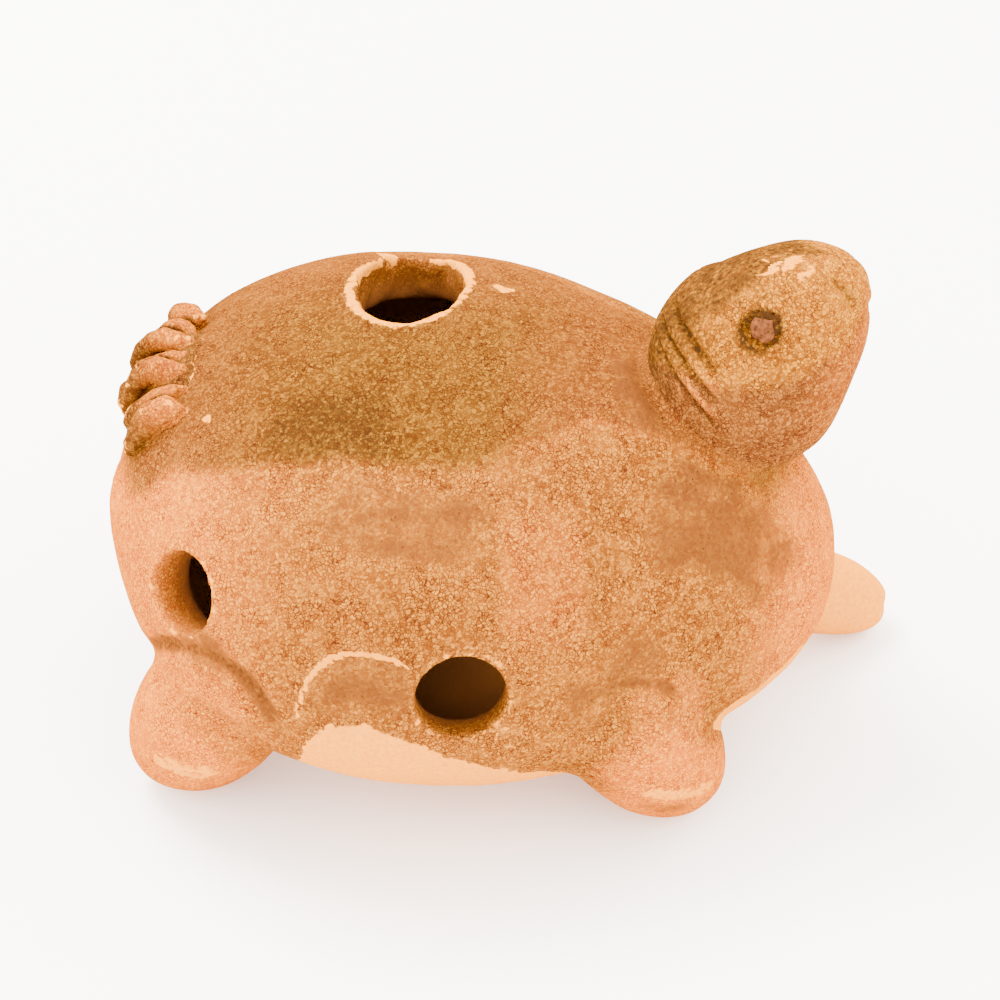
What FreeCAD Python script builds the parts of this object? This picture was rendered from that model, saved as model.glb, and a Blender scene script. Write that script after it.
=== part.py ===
import FreeCAD, Part
import math
import os

# A turtle-shaped vessel flute of fired, crackle-glazed clay, in millimetres.
# +X points from tail to head, +Y to the turtle's left, +Z up, and it stands on Z = 0.
# The hollow body is a back shell on a belly shell; head, feet and tail are solid lumps
# stuck on with slip (wet clay), which squeezes out as a small roll round every root.

Vector = FreeCAD.Vector

# Body: an egg with a fuller section than an ellipse, leaning back towards the tail.
BODY_HALF_LENGTH = 32.7
BODY_HALF_WIDTH = 28.0
BACK_RISE = 22.2
BELLY_DROP = 18.0
BELLY_CLEARANCE = 2.0
BODY_LEAN = -0.172
BODY_TAPER = 0.23
BODY_FULLNESS = 2.25
WALL = 4.0
SEAM_HEIGHT = 11.0

# Sound holes through the wall: the blow hole on the back and two finger holes.
BLOW_HOLE_HALF_LENGTH = 4.7
BLOW_HOLE_HALF_WIDTH = 7.2
BLOW_HOLE_CENTRE = Vector(-6.4, 7.3, 0)
FLANK_HOLE_RADIUS = 4.1
FLANK_HOLE_CENTRE = Vector(1.7, -27.4, 21.9)
FLANK_HOLE_OUT = Vector(0.15, -0.95, 0.27)
REAR_HOLE_RADIUS = 3.8
REAR_HOLE_CENTRE = Vector(-23.6, -21.8, 27.2)
REAR_HOLE_OUT = Vector(-0.62, -0.73, 0.28)
HOLE_REACH = 8.0

# Head and neck: one blunt lump that rises forwards out of the shoulders, turned to its right.
HEAD_RISE = 57.0
HEAD_TURN = 16.0
HEAD_ROOT = Vector(19.4, 0.8, 31.3)
# Rings along the lump: (distance along, shift towards the nape, half width, half depth).
HEAD_RINGS = [
    (-5.0, 0.0, 4.0, 4.0),
    (-3.0, 0.0, 6.8, 6.8),
    (1.5, 0.0, 7.2, 7.3),
    (5.0, -0.1, 7.7, 7.7),
    (8.0, 0.15, 9.0, 9.15),
    (11.0, 0.3, 9.2, 9.1),
    (14.8, 0.5, 8.8, 8.3),
    (18.4, 0.2, 7.6, 6.9),
    (21.2, 0.0, 5.7, 4.8),
    (23.0, -0.3, 3.4, 2.8),
    (23.5, -0.3, 1.2, 1.1),
]

# Eyes: round pellets pressed into the cheeks, turned away from the throat.
EYE_ALONG = 17.0
EYE_SEAT_RADIUS = 7.0
EYE_RADIUS = 1.6
EYE_DEPTH = 1.1
EYE_TURN = 102.0
# Rings along a pellet, as shares of its depth and radius.
EYE_RINGS = [(-1.0, 0.5), (-0.7, 1.0), (0.0, 1.0), (0.7, 0.9), (1.0, 0.5)]

# Feet: solid tongues with flat soles. Tips are where the clay was pressed to the ground.
FOOT_HALF_WIDTH = 7.0
FOOT_HALF_DEPTH = 6.4
# Rings along a foot, as shares of its length, half width and half depth.
FOOT_RINGS = [
    (0.0, 0.6, 0.6),
    (0.12, 1.0, 1.0),
    (0.40, 1.05, 1.05),
    (0.68, 1.0, 1.0),
    (0.86, 0.86, 0.78),
    (0.98, 0.55, 0.45),
    (1.0, 0.25, 0.2),
]
FOOT_TIPS = {
    "rear_right_foot": Vector(-26.4, -11.6, 0.8),
    "rear_left_foot": Vector(-26.4, 11.6, 0.8),
    "front_right_foot": Vector(20.3, -11.0, 0.8),
    "front_left_foot": Vector(38.2, 15.6, 1.7),
}
FOOT_ROOTS = {
    "rear_right_foot": Vector(-18.8, -20.0, 17.6),
    "rear_left_foot": Vector(-18.8, 20.0, 17.6),
    "front_right_foot": Vector(12.8, -19.5, 17.6),
    "front_left_foot": Vector(21.0, 7.0, 11.6),
}
FRONT_LEFT_SCALE = 0.64

# Tail: a fan of rolled strands laid side by side on a pad, high on the rump. Places on the
# rump are latitudes of the body in degrees, and strands are a few degrees of longitude apart.
STRAND_COUNT = 7
STRAND_STEP = 6.0
STRAND_RADIUS = 1.7
STRAND_LOW = 30.0
STRAND_HIGH = 53.0
STRAND_STAGGER = 3.0
STRAND_MIDDLE = 40.0
# Rings along a strand, from low to high, as shares of its radius, and how it arches clear
# of the skin: it lies lowest at its two ends.
STRAND_RINGS = [0.55, 0.85, 1.0, 1.05, 0.95, 0.6]
STRAND_ARCH = 0.9
STRAND_ARCH_START = 0.1
STRAND_ARCH_SPAN = 0.7
# Pad: a patch of raised skin, cut by a flat lump whose rings are shares of its reach along
# the slope and of its half width, with their half depths.
TAIL_PAD_RISE = 0.6
TAIL_PAD_HIGH = 49.0
TAIL_PAD_WIDTH = 0.62
TAIL_PAD_RINGS = [(-1.0, 0.55, 1.5), (-0.85, 0.9, 4.0), (0.0, 1.0, 6.0), (0.8, 0.85, 4.0), (1.0, 0.5, 1.5)]

# Luting slip: how far the roll stands out from the two pieces that it joins.
SLIP_ON_BODY = 1.0
SLIP_ON_LIMB = 1.1

# Control points round every ring, and how far out they stand so that the skin meets its size.
RING_POINTS = 16
RING_GAIN = 3.0 / (2.0 + math.cos(2.0 * math.pi / RING_POINTS))
LATITUDE_ROWS = 14
# Share of a latitude row that the ring nearest each pole keeps from it.
POLE_SHARE = 1.0 / 3.0
# Side of a cube that holds the whole turtle, for cutting at a level.
LARGE = 4.0 * BODY_HALF_LENGTH


def closed_surface(first, rings, last):
    """Solid inside a smooth skin over rings of control points, closed by a point at each end."""
    count = len(rings[0])
    rows = [[first] * count] + rings + [[last] * count]
    spans = len(rows) - 3
    skin = Part.BSplineSurface()
    skin.buildFromPolesMultsKnots(
        rows,
        [4] + [1] * (spans - 1) + [4],
        [1] * (count + 1),
        list(range(spans + 1)),
        list(range(count + 1)),
        False,
        True,
        3,
        3,
    )
    return Part.Solid(Part.Shell([skin.toShape()]))


def turns():
    """Angles of the control points round a ring."""
    return [2.0 * math.pi * k / RING_POINTS for k in range(RING_POINTS)]


def body_point(longitude, latitude, grow=0.0, gain=1.0):
    """Point of the body's skin, grown outwards by a distance; angles in radians."""
    power = 2.0 / BODY_FULLNESS
    across = math.cos(latitude) ** power
    up = math.copysign(abs(math.sin(latitude)) ** power, latitude)
    rise = up * ((BACK_RISE if up > 0 else BELLY_DROP) + grow)
    forward = gain * across * math.cos(longitude)
    side = gain * across * math.sin(longitude)
    return Vector(
        (BODY_HALF_LENGTH + grow) * forward + BODY_LEAN * rise,
        (BODY_HALF_WIDTH + grow) * side * (1.0 - BODY_TAPER * forward),
        BELLY_CLEARANCE + BELLY_DROP + rise,
    )


def body_solid(grow):
    """The whole egg, grown outwards by a distance or shrunk by a negative one."""
    steps = [POLE_SHARE] + list(range(1, LATITUDE_ROWS)) + [LATITUDE_ROWS - POLE_SHARE]
    latitudes = [math.pi * (step / LATITUDE_ROWS - 0.5) for step in steps]
    rings = [[body_point(turn, lat, grow, RING_GAIN) for turn in turns()] for lat in latitudes]
    bottom = body_point(0.0, -math.pi / 2.0, grow)
    top = body_point(0.0, math.pi / 2.0, grow)
    return closed_surface(bottom, rings, top)


def oval_ring(centre, across, down):
    """Ring of control points through the ends of two half axes, starting across."""
    return [centre + across * math.cos(turn) + down * math.sin(turn) for turn in turns()]


def lump(origin, axis, side, stations, grow=0.0):
    """Lump of clay through elliptical rings: (along, shift, half width, half depth)."""
    axis = Vector(axis).normalize()
    depth = axis.cross(side).normalize()
    side = depth.cross(axis)
    rings = []
    for along, shift, half_width, half_depth in stations:
        centre = origin + axis * along + depth * shift
        wide = (half_width + grow) * RING_GAIN
        deep = (half_depth + grow) * RING_GAIN
        rings.append(oval_ring(centre, side * wide, depth * deep))
    first = origin + axis * stations[0][0] + depth * stations[0][1]
    last = origin + axis * stations[-1][0] + depth * stations[-1][1]
    return closed_surface(first, rings, last)


def all_below(level):
    """Cube that holds everything below a level."""
    return Part.makeBox(LARGE, LARGE, LARGE, Vector(-LARGE / 2.0, -LARGE / 2.0, level - LARGE))


def finger_hole(centre, out, radius):
    """Round hole through the wall at a place on the skin."""
    out = Vector(out).normalize()
    return Part.makeCylinder(radius, 2.0 * HOLE_REACH, centre - out * HOLE_REACH, out)


def blow_hole():
    """Oval hole straight down through the back."""
    centre = BLOW_HOLE_CENTRE + Vector(0, 0, BELLY_CLEARANCE + BELLY_DROP + BACK_RISE - HOLE_REACH)
    long_end = centre + Vector(0, BLOW_HOLE_HALF_WIDTH, 0)
    short_end = centre - Vector(BLOW_HOLE_HALF_LENGTH, 0, 0)
    oval = Part.Wire(Part.Ellipse(long_end, short_end, centre).toShape())
    return Part.Face(oval).extrude(Vector(0, 0, 2.0 * HOLE_REACH))


def shells(outer):
    """Back shell and belly shell, parted at the seam and pierced by the three holes."""
    wall = outer.cut(body_solid(-WALL)).cut(blow_hole())
    wall = wall.cut(finger_hole(FLANK_HOLE_CENTRE, FLANK_HOLE_OUT, FLANK_HOLE_RADIUS))
    wall = wall.cut(finger_hole(REAR_HOLE_CENTRE, REAR_HOLE_OUT, REAR_HOLE_RADIUS))
    below = all_below(SEAM_HEIGHT)
    return wall.cut(below), wall.common(below)


def head_frame():
    """Axis in which neck and head rise, the head's left side, and its nape."""
    rise = math.radians(HEAD_RISE)
    turn = math.radians(HEAD_TURN)
    axis = Vector(math.cos(rise), 0, math.sin(rise))
    back = Vector(-axis.z, 0, axis.x)
    left = Vector(0, math.cos(turn), 0) - back * math.sin(turn)
    return axis, left, axis.cross(left)


def head_lump(grow=0.0):
    """Neck and head as one lump with a blunt, wedge-like snout."""
    axis, left, _ = head_frame()
    return lump(HEAD_ROOT, axis, left, HEAD_RINGS, grow)


def eye(side):
    """Clay pellet pressed into the cheek; side is -1 for the right eye and 1 for the left."""
    axis, left, nape = head_frame()
    turn = math.radians(EYE_TURN)
    out = left * (side * math.sin(turn)) - nape * math.cos(turn)
    seat = HEAD_ROOT + axis * EYE_ALONG + out * EYE_SEAT_RADIUS
    rings = [(EYE_DEPTH * deep, 0.0, EYE_RADIUS * wide, EYE_RADIUS * wide) for deep, wide in EYE_RINGS]
    return lump(seat, out, axis, rings)


def foot_lump(name, grow=0.0):
    """Tongue-shaped foot from inside the body to its tip, before its sole is flattened."""
    tip = FOOT_TIPS[name]
    root = FOOT_ROOTS[name]
    size = FRONT_LEFT_SCALE if name == "front_left_foot" else 1.0
    length = (tip - root).Length
    width = FOOT_HALF_WIDTH * size
    depth = FOOT_HALF_DEPTH * size
    rings = [(along * length, 0.0, wide * width, deep * depth) for along, wide, deep in FOOT_RINGS]
    flat = Vector(0, 0, 1).cross(tip - root)
    return lump(root, tip - root, flat, rings, grow)


def above_ground(shape):
    """Shape with everything under the standing surface taken off, which leaves a flat sole."""
    return shape.cut(all_below(0.0))


def strand(index):
    """One rolled strand of the tail, lying along the rump from low to high."""
    offset = index - (STRAND_COUNT - 1) / 2.0
    longitude = math.pi + math.radians(STRAND_STEP * offset)
    high = STRAND_HIGH - STRAND_STAGGER * (index % 2)
    last = len(STRAND_RINGS) - 1
    centres = []
    for step in range(last + 1):
        share = step / last
        latitude = math.radians(STRAND_LOW + (high - STRAND_LOW) * share)
        arch = STRAND_ARCH * math.sin(math.pi * (STRAND_ARCH_START + STRAND_ARCH_SPAN * share))
        centres.append(body_point(longitude, latitude, arch))
    middle = math.radians(STRAND_MIDDLE)
    away = body_point(longitude, middle, STRAND_RADIUS) - body_point(longitude, middle)
    rings = []
    for step, centre in enumerate(centres):
        ahead = centres[min(step + 1, last)] - centres[max(step - 1, 0)]
        side = ahead.cross(away).normalize()
        out = side.cross(ahead).normalize()
        radius = STRAND_RADIUS * STRAND_RINGS[step] * RING_GAIN
        rings.append(oval_ring(centre, out * -radius, side * radius))
    return closed_surface(centres[0], rings, centres[-1])


def tail_pad(outer):
    """Pad of clay under the strands: the patch of skin that they cover, raised a little."""
    half_fan = math.radians(STRAND_STEP * STRAND_COUNT / 2.0)
    low = math.radians(STRAND_LOW)
    high = math.radians(TAIL_PAD_HIGH)
    middle = body_point(math.pi, (low + high) / 2.0)
    uphill = body_point(math.pi, high) - body_point(math.pi, low)
    edge = body_point(math.pi + half_fan, (low + high) / 2.0)
    reach = uphill.Length / 2.0
    half_width = TAIL_PAD_WIDTH * abs(edge.y)
    rings = [(along * reach, 0.0, wide * half_width, deep) for along, wide, deep in TAIL_PAD_RINGS]
    patch = lump(middle, uphill, Vector(0, 1, 0), rings)
    return patch.common(body_solid(TAIL_PAD_RISE)).cut(outer)


def slip_roll(limb, limb_grown, outer, body_grown):
    """Roll of slip round a limb's root: close to both skins and outside both pieces."""
    return limb_grown.common(body_grown).cut(outer).cut(limb)


def build():
    """Every piece of the turtle by name."""
    outer = body_solid(0.0)
    body_grown = body_solid(SLIP_ON_BODY)
    pieces = {}
    pieces["back_shell"], pieces["belly_shell"] = shells(outer)

    head_full = head_lump()
    pieces["right_eye"] = eye(-1)
    pieces["left_eye"] = eye(1)
    pieces["head"] = head_full.cut(outer).cut(pieces["right_eye"]).cut(pieces["left_eye"])
    pieces["neck_slip"] = slip_roll(head_full, head_lump(SLIP_ON_LIMB), outer, body_grown)

    for name in FOOT_TIPS:
        full = foot_lump(name)
        slip = slip_roll(full, foot_lump(name, SLIP_ON_LIMB), outer, body_grown)
        pieces[name] = above_ground(full.cut(outer))
        pieces[name + "_slip"] = above_ground(slip)

    pieces["tail_pad"] = tail_pad(outer)
    laid = [outer, pieces["tail_pad"]]
    for index in range(STRAND_COUNT):
        piece = strand(index)
        for neighbour in laid:
            piece = piece.cut(neighbour)
        laid.append(piece)
        pieces["tail_strand_%d" % (index + 1)] = piece
    return pieces


def centred(pieces):
    """The same pieces, moved so that the origin is in the middle of the box's bottom."""
    box = Part.makeCompound(list(pieces.values())).optimalBoundingBox()
    offset = Vector(-box.Center.x, -box.Center.y, -box.ZMin)
    print("moved by", offset)
    moved = {}
    for name, shape in pieces.items():
        moved[name] = shape.copy()
        moved[name].translate(offset)
    return moved


def main():
    os.makedirs("parts", exist_ok=True)
    for name, shape in centred(build()).items():
        if not shape.isValid():
            raise ValueError(name + " is not a valid solid")
        shape.exportStep("parts/" + name + ".step")
        print(name, len(shape.Solids), "solid(s)", round(shape.Volume, 1), "mm3", shape.BoundBox)


main()
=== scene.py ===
import math

import bmesh
import bpy
import numpy as np
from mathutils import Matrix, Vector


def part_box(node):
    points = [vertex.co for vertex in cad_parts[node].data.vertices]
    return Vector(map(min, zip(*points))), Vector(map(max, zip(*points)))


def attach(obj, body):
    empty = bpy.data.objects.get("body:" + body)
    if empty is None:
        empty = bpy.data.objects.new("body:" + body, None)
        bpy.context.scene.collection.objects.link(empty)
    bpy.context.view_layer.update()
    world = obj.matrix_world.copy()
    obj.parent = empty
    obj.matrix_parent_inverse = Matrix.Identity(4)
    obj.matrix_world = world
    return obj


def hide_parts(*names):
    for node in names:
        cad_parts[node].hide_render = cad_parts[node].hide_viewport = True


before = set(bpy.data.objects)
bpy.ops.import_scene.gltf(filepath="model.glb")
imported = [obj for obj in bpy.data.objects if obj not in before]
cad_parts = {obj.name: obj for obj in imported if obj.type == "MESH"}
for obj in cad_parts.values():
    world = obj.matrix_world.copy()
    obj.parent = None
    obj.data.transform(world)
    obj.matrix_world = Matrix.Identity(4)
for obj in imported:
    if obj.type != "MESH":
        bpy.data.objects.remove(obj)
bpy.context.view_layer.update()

import openvdb
from mathutils import Vector

# A turtle-shaped vessel flute of crackle-glazed clay. Every lump of clay is a field in millimetres,
# negative inside, worked out on a lattice and turned into a mesh. Neighbours share one set of
# hand-made marks and sink just under each other's skin, so that they read as luted clay.

METRE = 0.001

# Body: the same egg as the frame's shells.
BODY_CENTRE = (-3.061, 0.0, 20.0)
BODY_HALF = (32.7, 28.0)
BACK_RISE = 22.2
BELLY_DROP = 18.0
BODY_LEAN = -0.172
BODY_TAPER = 0.23
BODY_FULLNESS = 2.25
WALL = 4.0
SEAM_HEIGHT = 11.0

# Sound holes.
BLOW_HOLE = (-9.46, 7.3)
BLOW_HOLE_HALF = (4.7, 7.2)
BLOW_HOLE_HEIGHT = 41.0
FINGER_HOLES = (
    ((-1.36, -27.4, 21.9), (0.15, -0.95, 0.27), 4.0),
    ((-26.66, -21.8, 27.2), (-0.62, -0.73, 0.28), 3.7),
)
BLOW_HOLE_EDGE = 0.7
FINGER_HOLE_EDGE = 0.45

# Lattice steps, and the block of space that the body is worked out in.
BODY_STEP = 0.44
LIMB_STEP = 0.25
EYE_STEP = 0.12
TAIL_STEP = 0.2
BODY_BLOCK = ((-38.5, -31.0, 0.5), (32.5, 31.0, 44.5))

# How far a piece reaches into its neighbour, how far slip lies under the skins that it joins, how
# far from a CAD node its distance is known, and how softly feet end on the ground.
SUNK = 1.2
FEATHER = 0.012
BAND = 4.0
SOLE_EDGE = 0.5

# Value of a field where a bar that cuts a hole doesn't reach, and how deep a finger hole's bar goes.
FAR_OUTSIDE = 5.0
FINGER_HOLE_REACH = 9.0

# Range of coordinates that the noise covers.
NOISE_LOW = -64.0
NOISE_HIGH = 72.0

# Roughness of the clay and of edges in the glaze, each (height, grain, seed).
HAND_ROUGH = ((0.16, 9.0, 3), (0.05, 3.2, 4), (0.02, 1.3, 5))
CAVITY_ROUGH = (0.3, 5.0, 8)
BLOW_HOLE_ROUGH = ((0.4, 1.9, 11), (0.22, 0.9, 12))
AMBER_ROUGH = (1.0, 3.0, 21)
AMBER_HEAD_ROUGH = (7.0, 2.5, 21)
NAPE_ROUGH = (12.0, 1.7, 23)
BEYOND_ROUGH = (0.7, 3.0, 24)
CLAY_ROUGH = (0.6, 2.0, 31)
STRAND_ROUGH = ((0.35, 1.9, 41), (0.12, 0.9, 42))
PELLET_ROUGH = (0.16, 0.5, 51)

# Step and floor for the slope of the egg's field, and the search for its skin along a line.
SLOPE_STEP = 0.2
LEAST_SLOPE = 1e-3
SKIN_NEAR = 0.5
SKIN_FAR = 1.6
SKIN_HALVINGS = 30


class Lattice:
    """Block of points on a world-wide lattice, so that neighbouring blocks line up."""

    def __init__(self, low, high, step):
        self.step = step
        self.start = [int(math.floor(v / step)) for v in low]
        stop = [int(math.ceil(v / step)) + 1 for v in high]
        self.shape = tuple(b - a for a, b in zip(self.start, stop))
        self.axes = [np.arange(a, b, dtype=np.float32) * step for a, b in zip(self.start, stop)]
        self.x = self.axes[0][:, None, None]
        self.y = self.axes[1][None, :, None]
        self.z = self.axes[2][None, None, :]

    def window(self, low, high):
        """Slices of the part of the block inside a box, with its coordinates, or None."""
        cuts = []
        for axis, a, b in zip(self.axes, low, high):
            first, last = np.searchsorted(axis, (a, b))
            if first >= last:
                return None
            cuts.append(slice(first, last))
        x = self.x[cuts[0]]
        y = self.y[:, cuts[1]]
        z = self.z[:, :, cuts[2]]
        return tuple(cuts), x, y, z


def smooth_min(a, b, reach):
    """Union of two fields with a fillet."""
    h = np.maximum(reach - np.abs(a - b), 0.0)
    return np.minimum(a, b) - h * h / (4.0 * reach)


def smooth_max(a, b, reach):
    """Common part of two fields with a rounded edge."""
    return -smooth_min(-a, -b, reach)


def smooth_step(low, high, value):
    t = np.clip((value - low) / (high - low), 0.0, 1.0)
    return t * t * (3.0 - 2.0 * t)


def noise_cells(grain, seed):
    count = int(math.ceil((NOISE_HIGH - NOISE_LOW) / grain)) + 2
    return np.random.default_rng(seed).uniform(-1.0, 1.0, (count,) * 3).astype(np.float32)


def noise(x, y, z, grain, seed):
    """Smooth value noise on separate axes (broadcast) or at points."""
    cells = noise_cells(grain, seed)
    if x.ndim == 3:
        result = cells
        for axis in (x, y, z):
            u = (axis.ravel() - NOISE_LOW) / grain
            i = np.floor(u).astype(int)
            f = u - i
            f = f * f * (3.0 - 2.0 * f)
            weights = np.zeros((len(u), cells.shape[0]), np.float32)
            weights[np.arange(len(u)), i] = 1.0 - f
            weights[np.arange(len(u)), i + 1] = f
            result = np.tensordot(result, weights, axes=(0, 1))
        return result
    places = [(axis - NOISE_LOW) / grain for axis in (x, y, z)]
    base = [np.floor(u).astype(int) for u in places]
    parts = [u - i for u, i in zip(places, base)]
    parts = [f * f * (3.0 - 2.0 * f) for f in parts]
    total = np.zeros(len(x), np.float32)
    for corner in np.ndindex(2, 2, 2):
        weight = 1.0
        for f, c in zip(parts, corner):
            weight = weight * (f if c else 1.0 - f)
        total += weight * cells[tuple(i + c for i, c in zip(base, corner))]
    return total


def rough(x, y, z, layer):
    """Noise of one layer of roughness, given as (height, grain, seed)."""
    height, grain, seed = layer
    return height * noise(x, y, z, grain, seed)


def egg(x, y, z, grow=0.0):
    """Field of the body's egg, grown outwards by a distance."""
    rise = z - BODY_CENTRE[2]
    half_height = np.where(rise > 0.0, BACK_RISE, BELLY_DROP) + grow
    forward = (x - BODY_CENTRE[0] - BODY_LEAN * rise) / (BODY_HALF[0] + grow)
    side = (y - BODY_CENTRE[1]) / ((BODY_HALF[1] + grow) * (1.0 - BODY_TAPER * forward))
    up = np.abs(rise) / half_height
    across = forward * forward + side * side
    return (across ** (BODY_FULLNESS / 2.0) + up**BODY_FULLNESS) ** (1.0 / BODY_FULLNESS) - 1.0


def egg_distance(x, y, z, grow=0.0):
    """The egg's field as a distance in millimetres: divided by its own slope."""
    d = SLOPE_STEP
    value = egg(x, y, z, grow)
    slope = np.sqrt(
        ((egg(x + d, y, z, grow) - value) / d) ** 2
        + ((egg(x, y + d, z, grow) - value) / d) ** 2
        + ((egg(x, y, z + d, grow) - value) / d) ** 2
    )
    return (value / np.maximum(slope, LEAST_SLOPE)).astype(np.float32)


def on_skin(point):
    """A rough place moved onto the egg's skin, along the line from the body's centre."""
    centre = np.array(BODY_CENTRE)
    reach = np.array(point, float) - centre
    low, high = SKIN_NEAR, SKIN_FAR
    for _ in range(SKIN_HALVINGS):
        middle = (low + high) / 2.0
        if egg(*(centre + reach * middle)) > 0.0:
            high = middle
        else:
            low = middle
    return centre + reach * low


def corners(mesh):
    """Places of a mesh's vertices, in metres."""
    points = np.empty(len(mesh.vertices) * 3, np.float32)
    mesh.vertices.foreach_get("co", points)
    return points.reshape(-1, 3)


def node_field(lattice, *names):
    """Distance to the union of CAD nodes on a lattice."""
    result = None
    for name in names:
        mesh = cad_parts[name].data
        mesh.calc_loop_triangles()
        triangles = np.empty(len(mesh.loop_triangles) * 3, np.int32)
        mesh.loop_triangles.foreach_get("vertices", triangles)
        grid = openvdb.FloatGrid.createLevelSetFromPolygons(
            corners(mesh) / METRE,
            triangles=triangles.reshape(-1, 3).astype(np.uint32),
            transform=openvdb.createLinearTransform(voxelSize=lattice.step),
            halfWidth=BAND / lattice.step,
        )
        block = np.empty(lattice.shape, np.float32)
        grid.copyToArray(block, ijk=lattice.start)
        result = block if result is None else np.minimum(result, block)
    return result


def node_lattice(names, step, margin=2.5):
    """Lattice round some CAD nodes."""
    boxes = [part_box(name) for name in names]
    low = [min(b[0][k] for b in boxes) / METRE - margin for k in range(3)]
    high = [max(b[1][k] for b in boxes) / METRE + margin for k in range(3)]
    return Lattice(low, high, step)


def along_path(x, y, z, path):
    """Distance to a path of straight stretches, and how far along it the nearest place is."""
    best = None
    steps = [math.dist(a, b) for a, b in zip(path, path[1:])]
    total = sum(steps)
    done = 0.0
    for a, b, length in zip(path, path[1:], steps):
        ax, ay, az = (float(v) for v in a)
        dx, dy, dz = ((q - p) / length for p, q in zip(a, b))
        t = np.clip((x - ax) * dx + (y - ay) * dy + (z - az) * dz, 0.0, length)
        gap = np.sqrt((x - ax - dx * t) ** 2 + (y - ay - dy * t) ** 2 + (z - az - dz * t) ** 2)
        share = (done + t) / total
        if best is None:
            best, where = gap, share
        else:
            where = np.where(gap < best, share, where)
            best = np.minimum(gap, best)
        done += length
    return best, where


def smooth_path(points, count=6):
    """Round path through a few places (Catmull-Rom)."""
    points = [np.array(p, float) for p in points]
    points = [2.0 * points[0] - points[1]] + points + [2.0 * points[-1] - points[-2]]
    path = []
    for a, b, c, d in zip(points, points[1:], points[2:], points[3:]):
        for k in range(count):
            t = k / count
            place = 2.0 * b + (c - a) * t
            place = place + (2.0 * a - 5.0 * b + 4.0 * c - d) * t * t
            place = place + (3.0 * b - a - 3.0 * c + d) * t**3
            path.append(0.5 * place)
    path.append(points[-2])
    return path


# Head and neck: where the lump points, for marks given as (along, turn from the nape in degrees).
HEAD_RISE = math.radians(57.0)
HEAD_TURN = math.radians(16.0)
HEAD_ROOT = np.array((16.339, 0.8, 31.3))
HEAD_AXIS = np.array((math.cos(HEAD_RISE), 0.0, math.sin(HEAD_RISE)))
HEAD_BACK = np.array((-HEAD_AXIS[2], 0.0, HEAD_AXIS[0]))
HEAD_LEFT = np.array((0.0, math.cos(HEAD_TURN), 0.0)) - HEAD_BACK * math.sin(HEAD_TURN)
HEAD_NAPE = np.cross(HEAD_AXIS, HEAD_LEFT)
HEAD_ALONG = (-3.0, 1.5, 5.0, 8.0, 11.0, 14.8, 18.4, 20.3, 21.6, 22.8, 23.5)
HEAD_SHIFT = (0.0, 0.0, 0.0, 0.1, 0.05, 0.0, -0.1, -0.15, -0.15, -0.2, -0.3)
HEAD_SIDE = (6.8, 7.2, 7.85, 8.8, 9.1, 8.7, 7.4, 6.0, 4.7, 3.0, 0.6)
HEAD_DEPTH = (6.8, 7.3, 7.9, 8.8, 8.7, 7.9, 6.45, 5.1, 4.0, 2.6, 0.6)
HEAD_SHAPE = (HEAD_SHIFT, HEAD_SIDE, HEAD_DEPTH)


def on_head(along, turn, lift=0.0):
    """Place on the head's skin; turn is in degrees from the nape, negative on the right side."""
    shift, side, depth = (float(np.interp(along, HEAD_ALONG, row)) for row in HEAD_SHAPE)
    angle = math.radians(turn)
    across = HEAD_LEFT * (math.sin(angle) * (side + lift))
    back = HEAD_NAPE * (shift + math.cos(angle) * (depth + lift))
    return HEAD_ROOT + HEAD_AXIS * along + back + across


def head_place(x, y, z):
    """How far along the head points lie, and at which turn: negative on the right side."""
    dx, dy, dz = x - HEAD_ROOT[0], y - HEAD_ROOT[1], z - HEAD_ROOT[2]
    along = dx * HEAD_AXIS[0] + dy * HEAD_AXIS[1] + dz * HEAD_AXIS[2]
    left = dx * HEAD_LEFT[0] + dy * HEAD_LEFT[1] + dz * HEAD_LEFT[2]
    nape = dx * HEAD_NAPE[0] + dy * HEAD_NAPE[1] + dz * HEAD_NAPE[2]
    return along, np.degrees(np.arctan2(left, nape))


class Mark:
    """Soft ridge (or groove, with a height below zero) along a path, and the masks it adds to.

    A fading mark thins out at both ends. The spread is the width of its colour against its relief.
    """

    def __init__(self, path, width, height, fading=True, spread=1.0, **masks):
        self.path = path
        self.width = width
        self.height = height
        self.fading = fading
        self.spread = spread
        self.masks = masks


def skin_path(*places):
    return [on_skin(p) for p in smooth_path(places)]


def head_path(*places):
    return [on_head(*p) for p in smooth_path(places)]


def turns(count):
    """Angles once round a circle, with the first one again at the end."""
    return [2.0 * math.pi * k / count for k in range(count + 1)]


def hole_rim(spread):
    """Path round the blow hole's mouth."""
    half_length, half_width = (half + spread for half in BLOW_HOLE_HALF)
    path = []
    for t in turns(24):
        x = BLOW_HOLE[0] + half_length * math.cos(t)
        y = BLOW_HOLE[1] + half_width * math.sin(t)
        path.append(on_skin((x, y, BLOW_HOLE_HEIGHT)))
    return path


def ring_path(centre, out, radius):
    """Circle on the skin round a place."""
    out = np.array(out, float)
    out /= np.linalg.norm(out)
    across = np.cross(out, (0.0, 0.0, 1.0))
    across /= np.linalg.norm(across)
    up = np.cross(across, out)
    steps = [(across * math.cos(t) + up * math.sin(t)) * radius for t in turns(20)]
    return [on_skin(np.array(centre) + step) for step in steps]


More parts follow.
